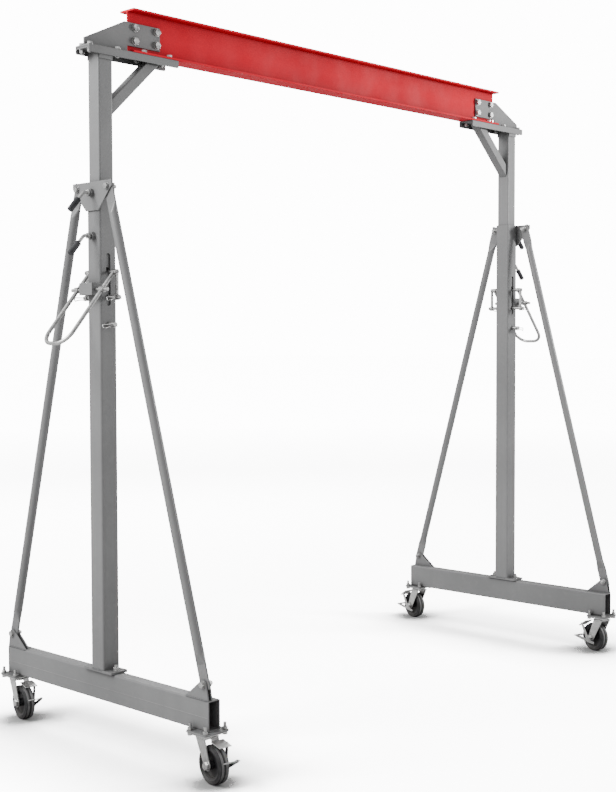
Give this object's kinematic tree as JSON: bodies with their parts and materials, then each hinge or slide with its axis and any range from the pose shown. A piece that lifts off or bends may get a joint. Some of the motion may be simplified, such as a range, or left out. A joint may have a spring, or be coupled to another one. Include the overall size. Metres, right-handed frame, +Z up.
{
  "type": "portable gantry crane",
  "caption": "Portable gantry crane: I-beam on telescoping square posts with A-frame braces, base tubes, lift levers and braked swivel casters",
  "frame": {"origin": "on the floor under the middle of the beam, midway between the two posts", "axes": "+X along the beam to the right-hand leg, +Y along the base tubes to the rear, +Z up"},
  "size_m": [2.79, 1.3241, 2.54],
  "materials": {
    "beam": "gloss",
    "frame": "satin",
    "zinc": "satin",
    "grip": "matte",
    "core": "satin",
    "tyre": "matte"
  },
  "bodies": {
    "upper_frame": {"i_beam": "beam", "web_bolts": "zinc", "saddle_bolts": "zinc", "saddle_left": "frame", "post_cap_left": "frame", "inner_post_left": "frame", "knee_brace_left": "frame", "saddle_right": "frame", "post_cap_right": "frame", "inner_post_right": "frame", "knee_brace_right": "frame"},
    "leg_left": {"outer_post_left": "frame", "base_tube_left": "frame", "brace_front_left": "frame", "brace_rear_left": "frame", "leg_bolts_left": "zinc", "caster_plates_left": "zinc", "fulcrum_pin_left": "zinc", "lock_pin_left": "zinc"},
    "clamp_upper_left": {"clamp_screw_upper_left": "zinc", "clamp_grip_upper_left": "grip"},
    "clamp_lower_left": {"clamp_screw_lower_left": "zinc", "clamp_grip_lower_left": "grip"},
    "lever_left": {"lift_lever_left": "zinc"},
    "links_left": {"lift_links_left": "zinc"},
    "leg_right": {"outer_post_right": "frame", "base_tube_right": "frame", "brace_front_right": "frame", "brace_rear_right": "frame", "leg_bolts_right": "zinc", "caster_plates_right": "zinc", "fulcrum_pin_right": "zinc", "lock_pin_right": "zinc"},
    "clamp_upper_right": {"clamp_screw_upper_right": "zinc", "clamp_grip_upper_right": "grip"},
    "clamp_lower_right": {"clamp_screw_lower_right": "zinc", "clamp_grip_lower_right": "grip"},
    "lever_right": {"lift_lever_right": "zinc"},
    "links_right": {"lift_links_right": "zinc"},
    "swivel_left_front": {"yoke_left_front": "zinc", "axle_bolt_left_front": "zinc"},
    "roll_left_front": {"wheel_left_front": "core", "tyre_left_front": "tyre"},
    "brake_left_front": {"brake_pedal_left_front": "zinc"},
    "swivel_left_rear": {"yoke_left_rear": "zinc", "axle_bolt_left_rear": "zinc"},
    "roll_left_rear": {"wheel_left_rear": "core", "tyre_left_rear": "tyre"},
    "brake_left_rear": {"brake_pedal_left_rear": "zinc"},
    "swivel_right_front": {"yoke_right_front": "zinc", "axle_bolt_right_front": "zinc"},
    "roll_right_front": {"wheel_right_front": "core", "tyre_right_front": "tyre"},
    "brake_right_front": {"brake_pedal_right_front": "zinc"},
    "swivel_right_rear": {"yoke_right_rear": "zinc", "axle_bolt_right_rear": "zinc"},
    "roll_right_rear": {"wheel_right_rear": "core", "tyre_right_rear": "tyre"},
    "brake_right_rear": {"brake_pedal_right_rear": "zinc"}
  },
  "joints": [
    {"name": "leg_left_slide", "type": "slide", "parent": "upper_frame", "child": "leg_left", "axis": [0, 0, -1], "range_m": [-0.186, 0.651]},
    {"name": "clamp_upper_left_turn", "type": "hinge", "parent": "leg_left", "child": "clamp_upper_left", "pos_m": [-1.245, 0, 1.9], "axis": [-1, 0, 0], "continuous": true},
    {"name": "clamp_lower_left_turn", "type": "hinge", "parent": "leg_left", "child": "clamp_lower_left", "pos_m": [-1.245, 0, 1.755], "axis": [-1, 0, 0], "continuous": true},
    {"name": "lever_left_lift", "type": "hinge", "parent": "leg_left", "child": "lever_left", "pos_m": [-1.237, 0, 1.573], "axis": [0, 1, 0], "range_deg": [0, 60]},
    {"name": "links_left_hang", "type": "hinge", "parent": "lever_left", "child": "links_left", "pos_m": [-1.18622, 0, 1.63352], "axis": [0, 1, 0], "range_deg": [-60, 0]},
    {"name": "leg_right_slide", "type": "slide", "parent": "upper_frame", "child": "leg_right", "axis": [0, 0, -1], "range_m": [-0.186, 0.651]},
    {"name": "clamp_upper_right_turn", "type": "hinge", "parent": "leg_right", "child": "clamp_upper_right", "pos_m": [1.245, 0, 1.9], "axis": [1, 0, 0], "continuous": true},
    {"name": "clamp_lower_right_turn", "type": "hinge", "parent": "leg_right", "child": "clamp_lower_right", "pos_m": [1.245, 0, 1.755], "axis": [1, 0, 0], "continuous": true},
    {"name": "lever_right_lift", "type": "hinge", "parent": "leg_right", "child": "lever_right", "pos_m": [1.237, 0, 1.573], "axis": [0, -1, 0], "range_deg": [0, 60]},
    {"name": "links_right_hang", "type": "hinge", "parent": "lever_right", "child": "links_right", "pos_m": [1.18622, 0, 1.63352], "axis": [0, -1, 0], "range_deg": [-60, 0]},
    {"name": "swivel_left_front_turn", "type": "hinge", "parent": "leg_left", "child": "swivel_left_front", "pos_m": [-1.185, -0.524, 0.145], "axis": [0, 0, 1], "continuous": true},
    {"name": "roll_left_front_spin", "type": "hinge", "parent": "swivel_left_front", "child": "roll_left_front", "pos_m": [-1.18927, -0.55874, 0.0625], "axis": [0.9925, -0.1219, 0], "continuous": true},
    {"name": "brake_left_front_press", "type": "hinge", "parent": "swivel_left_front", "child": "brake_left_front", "pos_m": [-1.18927, -0.55874, 0.0625], "axis": [0.9925, -0.1219, 0], "range_deg": [0, 22]},
    {"name": "swivel_left_rear_turn", "type": "hinge", "parent": "leg_left", "child": "swivel_left_rear", "pos_m": [-1.185, 0.524, 0.145], "axis": [0, 0, 1], "continuous": true},
    {"name": "roll_left_rear_spin", "type": "hinge", "parent": "swivel_left_rear", "child": "roll_left_rear", "pos_m": [-1.19047, 0.48943, 0.0625], "axis": [0.9877, -0.1564, 0], "continuous": true},
    {"name": "brake_left_rear_press", "type": "hinge", "parent": "swivel_left_rear", "child": "brake_left_rear", "pos_m": [-1.19047, 0.48943, 0.0625], "axis": [0.9877, -0.1564, 0], "range_deg": [0, 22]},
    {"name": "swivel_right_front_turn", "type": "hinge", "parent": "leg_right", "child": "swivel_right_front", "pos_m": [1.185, -0.524, 0.145], "axis": [0, 0, 1], "continuous": true},
    {"name": "roll_right_front_spin", "type": "hinge", "parent": "swivel_right_front", "child": "roll_right_front", "pos_m": [1.19228, -0.48977, 0.0625], "axis": [-0.9781, 0.2079, 0], "continuous": true},
    {"name": "brake_right_front_press", "type": "hinge", "parent": "swivel_right_front", "child": "brake_right_front", "pos_m": [1.19228, -0.48977, 0.0625], "axis": [-0.9781, 0.2079, 0], "range_deg": [-22, 0]},
    {"name": "swivel_right_rear_turn", "type": "hinge", "parent": "leg_right", "child": "swivel_right_rear", "pos_m": [1.185, 0.524, 0.145], "axis": [0, 0, 1], "continuous": true},
    {"name": "roll_right_rear_spin", "type": "hinge", "parent": "swivel_right_rear", "child": "roll_right_rear", "pos_m": [1.19228, 0.55824, 0.0625], "axis": [-0.9781, 0.2079, 0], "continuous": true},
    {"name": "brake_right_rear_press", "type": "hinge", "parent": "swivel_right_rear", "child": "brake_right_rear", "pos_m": [1.19228, 0.55824, 0.0625], "axis": [-0.9781, 0.2079, 0], "range_deg": [-22, 0]}
  ],
  "couplings": [
    {"joint": "links_left_hang", "follows": "lever_left_lift", "ratio": -1},
    {"joint": "links_right_hang", "follows": "lever_right_lift", "ratio": -1}
  ]
}
